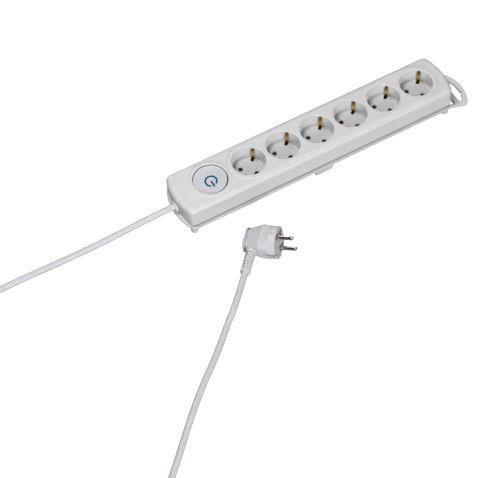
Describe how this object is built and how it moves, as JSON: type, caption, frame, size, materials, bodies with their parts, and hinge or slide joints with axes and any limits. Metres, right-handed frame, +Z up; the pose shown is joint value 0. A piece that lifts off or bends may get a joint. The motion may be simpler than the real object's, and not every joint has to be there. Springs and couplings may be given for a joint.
{
  "type": "power strip",
  "caption": "Household power strip with a row of round earthed sockets, a round rocker switch, a hanging loop and a mains cable with an angled plug.",
  "frame": {"origin": "on the floor plane, under the middle of the strip body", "axes": "+X along the strip towards the hanging loop (the cable leaves at -X), +Y across the strip, +Z up out of the sockets"},
  "size_m": [0.859, 0.3883, 0.0432],
  "materials": {
    "cover_plastic": "satin moulded light grey",
    "base_plastic": "satin moulded light grey",
    "pad_rubber": "soft light grey",
    "screw_steel": "zinc plated",
    "brass": "plain stamped sheet",
    "shutter_plastic": "dark red-brown",
    "plate_plastic": "plain",
    "spring_steel": "bright wire",
    "rocker_plastic": "slightly bluish white, semi-gloss",
    "symbol_ink": "teal inlay",
    "switch_plastic": "dark heat-resistant moulding",
    "live_insulation": "brown",
    "neutral_insulation": "blue",
    "earth_insulation": "green and yellow",
    "cable_sheath": "smooth white flexible sheath, faint lavender",
    "grommet_rubber": "soft white",
    "plug_plastic": "satin white overmould",
    "plug_insert_plastic": "hard light grey insert",
    "nickel": "nickel-plated brass"
  },
  "bodies": {
    "strip": {"base_tray": "base_plastic", "cable_clamp": "plate_plastic", "cable_grommet": "grommet_rubber", "case_screws": "screw_steel", "clamp_screws": "screw_steel", "earth_bar": "brass", "earth_clips": "brass", "earth_wire": "earth_insulation", "foot_pads": "pad_rubber", "inlet_terminals": "brass", "live_bar": "brass", "live_contacts": "brass", "live_feed_wire": "live_insulation", "live_switched_wire": "live_insulation", "mains_cable": "cable_sheath", "neutral_bar": "brass", "neutral_contacts": "brass", "neutral_feed_wire": "neutral_insulation", "neutral_switched_wire": "neutral_insulation", "outlet_terminals": "brass", "plug_core": "plug_insert_plastic", "plug_earth_socket": "nickel", "plug_earth_strips": "nickel", "plug_housing": "plug_plastic", "plug_pin_lower": "nickel", "plug_pin_upper": "nickel", "rocker_pins": "screw_steel", "shutter_plates": "plate_plastic", "shutter_springs": "spring_steel", "switch_housing": "switch_plastic", "top_cover": "cover_plastic"},
    "rocker": {"rocker_button": "rocker_plastic", "power_symbol": "symbol_ink", "switch_plungers": "brass", "plunger_springs": "spring_steel"},
    "contact_seesaw": {"contact_blades": "brass"},
    "shutter_rotor_1": {"shutter_1": "shutter_plastic"},
    "shutter_rotor_2": {"shutter_2": "shutter_plastic"},
    "shutter_rotor_3": {"shutter_3": "shutter_plastic"},
    "shutter_rotor_4": {"shutter_4": "shutter_plastic"},
    "shutter_rotor_5": {"shutter_5": "shutter_plastic"},
    "shutter_rotor_6": {"shutter_6": "shutter_plastic"}
  },
  "joints": [
    {"name": "rocker_tilt", "type": "hinge", "parent": "strip", "child": "rocker", "pos_m": [-0.1317, 0, 0.035], "axis": [0, 1, 0], "range_deg": [0, 10]},
    {"name": "contact_tilt", "type": "hinge", "parent": "strip", "child": "contact_seesaw", "pos_m": [-0.1317, 0, 0.026], "axis": [0, 1, 0], "range_deg": [-8, 0]},
    {"name": "shutter_1_turn", "type": "hinge", "parent": "strip", "child": "shutter_rotor_1", "pos_m": [-0.08225, 0, 0.0202], "axis": [0, 0, 1], "range_deg": [0, 38]},
    {"name": "shutter_2_turn", "type": "hinge", "parent": "strip", "child": "shutter_rotor_2", "pos_m": [-0.03755, 0, 0.0202], "axis": [0, 0, 1], "range_deg": [0, 38]},
    {"name": "shutter_3_turn", "type": "hinge", "parent": "strip", "child": "shutter_rotor_3", "pos_m": [0.00715, 0, 0.0202], "axis": [0, 0, 1], "range_deg": [0, 38]},
    {"name": "shutter_4_turn", "type": "hinge", "parent": "strip", "child": "shutter_rotor_4", "pos_m": [0.05185, 0, 0.0202], "axis": [0, 0, 1], "range_deg": [0, 38]},
    {"name": "shutter_5_turn", "type": "hinge", "parent": "strip", "child": "shutter_rotor_5", "pos_m": [0.09655, 0, 0.0202], "axis": [0, 0, 1], "range_deg": [0, 38]},
    {"name": "shutter_6_turn", "type": "hinge", "parent": "strip", "child": "shutter_rotor_6", "pos_m": [0.14125, 0, 0.0202], "axis": [0, 0, 1], "range_deg": [0, 38]}
  ],
  "couplings": [
    {"joint": "contact_tilt", "follows": "rocker_tilt", "ratio": -0.8}
  ]
}
